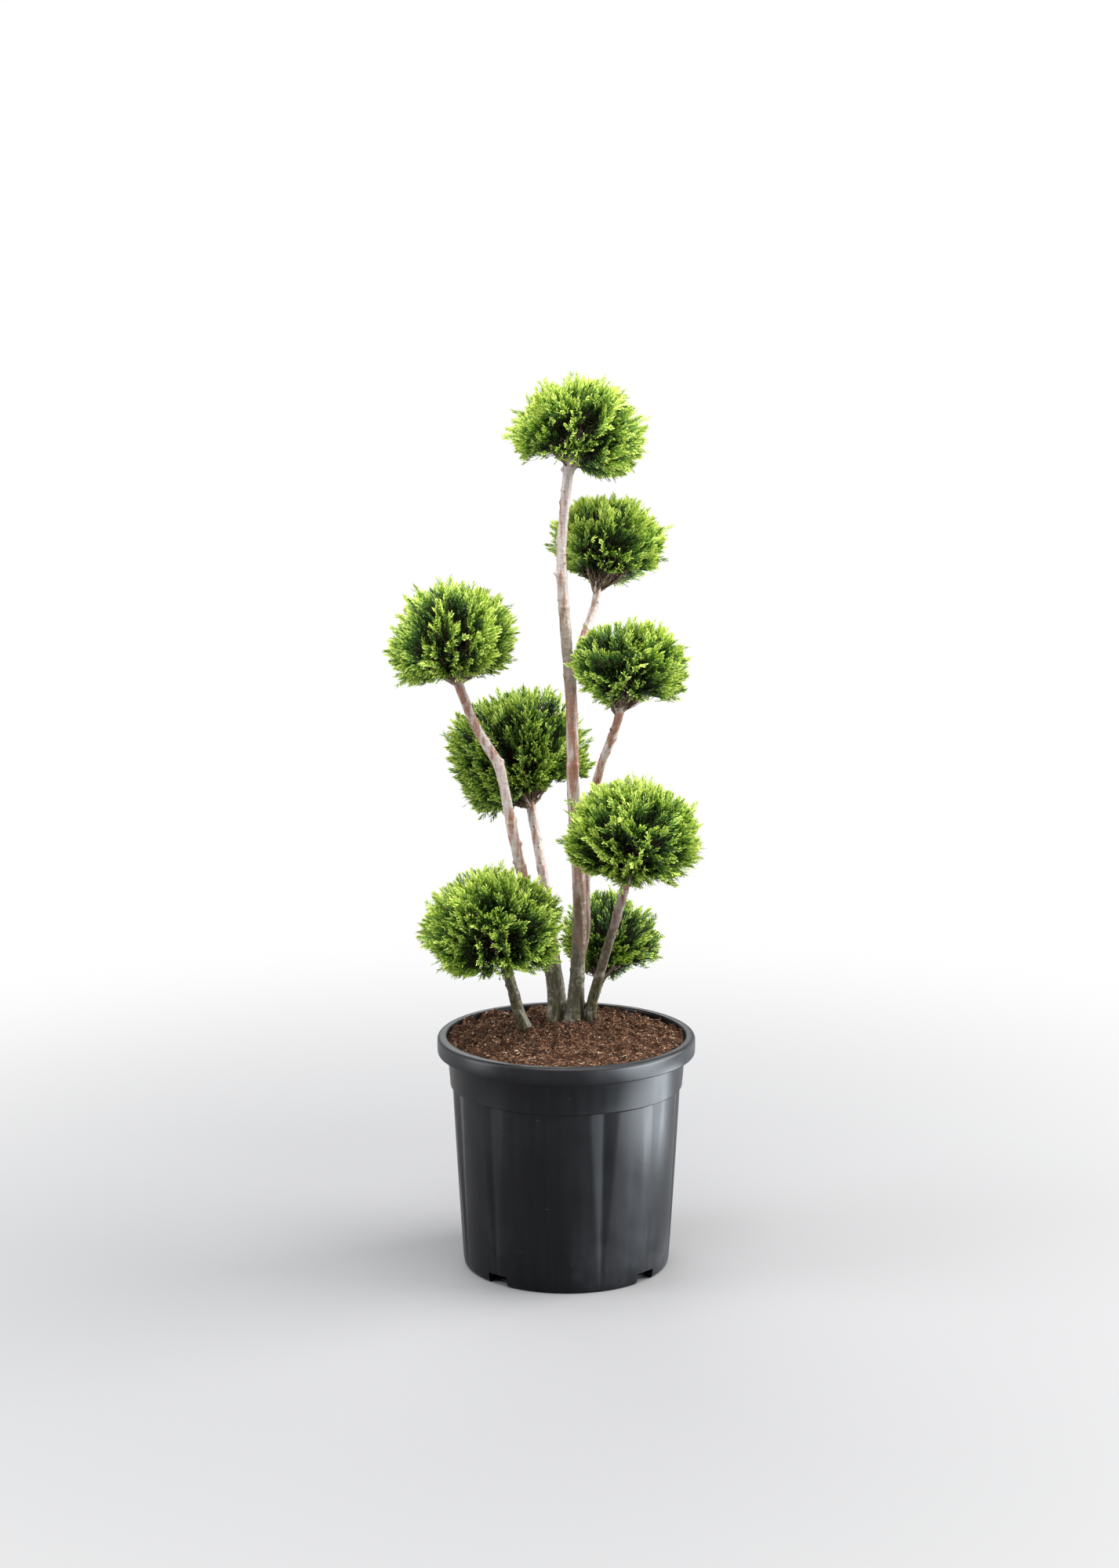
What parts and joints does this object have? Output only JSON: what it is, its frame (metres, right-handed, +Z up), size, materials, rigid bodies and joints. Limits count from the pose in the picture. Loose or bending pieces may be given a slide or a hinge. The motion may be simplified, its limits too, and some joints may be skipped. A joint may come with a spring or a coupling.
{
  "type": "potted cloud-pruned lawson cypress",
  "caption": "Lawson cypress trained on several bare stems, each ending in a clipped ball of yellow-green foliage, standing in a round ribbed nursery pot full of bark soil.",
  "frame": {"origin": "middle of the pot's flat underside", "axes": "+Z up along the pot's axis to the top ball, -Y the pictured front, +X to the right seen from the front"},
  "size_m": [0.42, 0.3915, 1.173],
  "materials": {
    "pot": "satin black moulded plastic, faintly brushed",
    "soil": "moist red-brown shredded bark and fibre",
    "bark": "thin silvery to red-brown bark with level rings and algae at the foot",
    "foliage": "flat sprays of scale leaves, green with yellow tips"
  },
  "bodies": {
    "root": {"pot": "pot", "soil": "soil", "trunk": "bark", "stem_front_left": "bark", "stem_left": "bark", "stem_middle_left": "bark", "stem_front_right": "bark", "stem_back_right": "bark", "bough_right": "bark", "bough_upper_right": "bark", "foliage_top": "foliage", "foliage_upper_right": "foliage", "foliage_left": "foliage", "foliage_right": "foliage", "foliage_middle_left": "foliage", "foliage_lower_right": "foliage", "foliage_lower_left": "foliage", "foliage_back_right": "foliage"}
  },
  "joints": []
}
